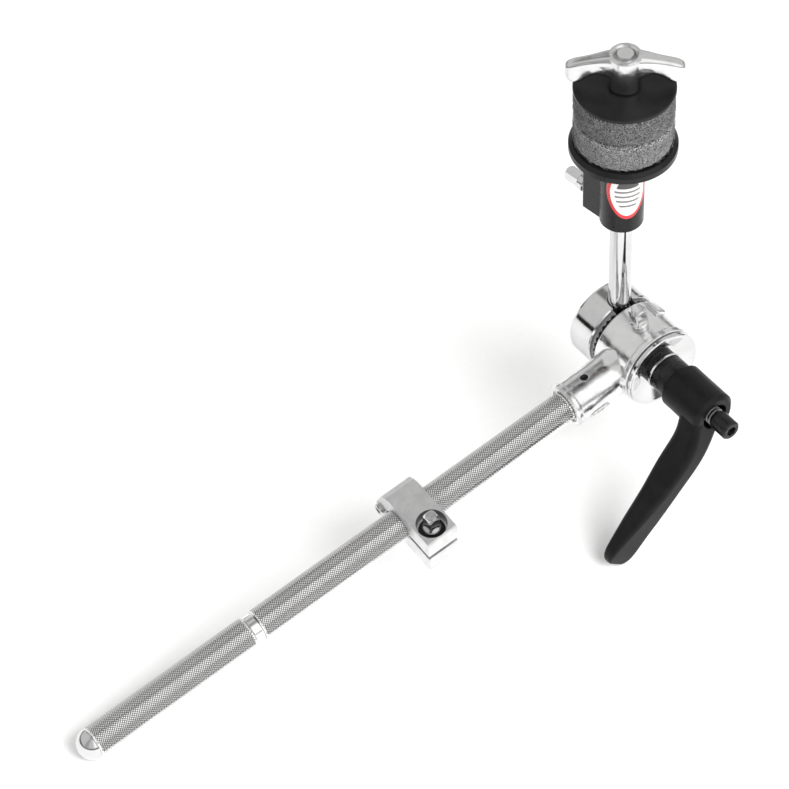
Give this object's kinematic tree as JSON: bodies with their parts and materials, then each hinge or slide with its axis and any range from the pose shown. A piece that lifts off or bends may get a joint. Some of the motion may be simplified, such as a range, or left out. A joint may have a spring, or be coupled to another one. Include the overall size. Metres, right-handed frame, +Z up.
{
  "type": "cymbal boom stand",
  "caption": "Short knurled cymbal boom with a memory clamp, a toothed tilter worked by an indexing lever, and a cymbal rod with seat, felts and wing nut.",
  "frame": {"origin": "middle of the bounding box's underside, on the table the object rests on", "axes": "+Z up; +Y along the hinge axis towards the drum side, lever on -Y; the boom runs from the hinge towards -X and slopes down 12.2 degrees, as the object rests on a table"},
  "size_m": [0.2833, 0.0972, 0.2089],
  "materials": {
    "boom_chrome": "knurled chrome plate with polished ends",
    "cast_chrome": "polished chrome plate",
    "clamp_satin": "satin blasted chrome with bright edges",
    "rod_chrome": "polished chrome plate",
    "screw_chrome": "polished chrome plate",
    "wing_chrome": "polished chrome plate",
    "tooth_steel": "dark sintered steel",
    "bolt_steel": "bright zinc plate",
    "spring_steel": "bright spring wire",
    "bush_brass": "turned",
    "black_steel": "black oxide",
    "lever_black": "fine textured matte black coat",
    "seat_plastic": "satin moulded plastic",
    "sleeve_nylon": "plain",
    "label_print": "printed white film with a red border and plain bars",
    "disc_plastic": "fine grain",
    "grey_felt": "marled pressed wool felt"
  },
  "bodies": {
    "boom": {"boom_tube": "boom_chrome", "tube_end_cap": "cast_chrome", "tilter_body": "cast_chrome", "boom_set_screws": "black_steel", "hinge_bush": "bush_brass", "body_tooth_ring": "tooth_steel", "release_spring": "spring_steel", "flange_cap": "cast_chrome", "spring_washers": "black_steel"},
    "body_key": {"body_key_screw": "screw_chrome"},
    "memory_clamp": {"clamp_lower_jaw": "clamp_satin", "clamp_hinge_pin": "screw_chrome"},
    "clamp_jaw": {"clamp_upper_jaw": "clamp_satin"},
    "clamp_washer": {"clamp_washer": "black_steel"},
    "clamp_key": {"clamp_key_screw": "screw_chrome"},
    "tilter": {"tilter_drum": "cast_chrome", "rod_hub": "bolt_steel", "tilt_tooth_ring": "tooth_steel", "hinge_bolt": "bolt_steel", "cymbal_rod": "rod_chrome"},
    "seat": {"seat_body": "seat_plastic", "cymbal_sleeve": "sleeve_nylon", "lower_felt": "grey_felt", "seat_label": "label_print"},
    "seat_key": {"seat_key_screw": "screw_chrome"},
    "nut_stack": {"top_disc": "disc_plastic", "upper_felt": "grey_felt"},
    "wing_nut": {"wing_nut": "wing_chrome"},
    "thrust_ring": {"thrust_ring": "screw_chrome"},
    "lever_insert": {"lever_insert": "black_steel", "lever_screw": "black_steel"},
    "lever_handle": {"lever_handle": "lever_black", "lever_spring": "spring_steel"}
  },
  "joints": [
    {"name": "tilter_tilt", "type": "hinge", "parent": "boom", "child": "tilter", "pos_m": [0.1245, 0.0053, 0.0625], "axis": [0, 1, 0], "range_deg": [-70, 225]},
    {"name": "clamp_travel", "type": "slide", "parent": "boom", "child": "thrust_ring", "axis": [0, -1, 0], "range_m": [0, 0.0015]},
    {"name": "lever_turn", "type": "hinge", "parent": "thrust_ring", "child": "lever_insert", "pos_m": [0.1245, 0.0053, 0.0625], "axis": [0, -1, 0], "range_deg": [0, 360]},
    {"name": "lever_lift", "type": "slide", "parent": "lever_insert", "child": "lever_handle", "axis": [0, -1, 0], "range_m": [0, 0.004], "deforming": ["lever_spring"]},
    {"name": "seat_height", "type": "slide", "parent": "tilter", "child": "seat", "axis": [-0.0558, 0, 0.9984], "range_m": [-0.038, 0]},
    {"name": "seat_key_turn", "type": "hinge", "parent": "seat", "child": "seat_key", "pos_m": [0.12075, 0.0203, 0.12959], "axis": [-0.139, 0.9903, -0.0078], "range_deg": [0, 360]},
    {"name": "nut_travel", "type": "slide", "parent": "tilter", "child": "nut_stack", "axis": [-0.0558, 0, 0.9984], "range_m": [0, 0.0125]},
    {"name": "wing_nut_turn", "type": "hinge", "parent": "nut_stack", "child": "wing_nut", "pos_m": [0.1168, 0.0203, 0.20028], "axis": [-0.0558, 0, 0.9984], "range_deg": [0, 3600]},
    {"name": "body_key_turn", "type": "hinge", "parent": "boom", "child": "body_key", "pos_m": [0.12027, 0.0043, 0.08205], "axis": [-0.2113, 0, 0.9774], "range_deg": [0, 360]},
    {"name": "memory_clamp_slide", "type": "slide", "parent": "boom", "child": "memory_clamp", "axis": [0.9774, 0, 0.2113], "range_m": [-0.065, 0.06]},
    {"name": "clamp_washer_travel", "type": "slide", "parent": "memory_clamp", "child": "clamp_washer", "axis": [-0.2081, -0.1736, 0.9626], "range_m": [0, 0.0016]},
    {"name": "clamp_key_turn", "type": "hinge", "parent": "clamp_washer", "child": "clamp_key", "pos_m": [0.01351, -0.00652, 0.03637], "axis": [-0.2081, -0.1736, 0.9626], "range_deg": [0, 720]},
    {"name": "clamp_jaw_open", "type": "hinge", "parent": "memory_clamp", "child": "clamp_jaw", "pos_m": [0.01333, 0.01689, 0.03723], "axis": [-0.9774, 0, -0.2113], "range_deg": [0, 3]}
  ],
  "couplings": [
    {"joint": "lever_turn", "follows": "clamp_travel", "rad_per_m": 4188.8},
    {"joint": "wing_nut_turn", "follows": "nut_travel", "rad_per_m": 5026.5},
    {"joint": "clamp_key_turn", "follows": "clamp_washer_travel", "rad_per_m": 7854},
    {"joint": "clamp_jaw_open", "follows": "clamp_washer_travel", "rad_per_m": 32.725}
  ]
}
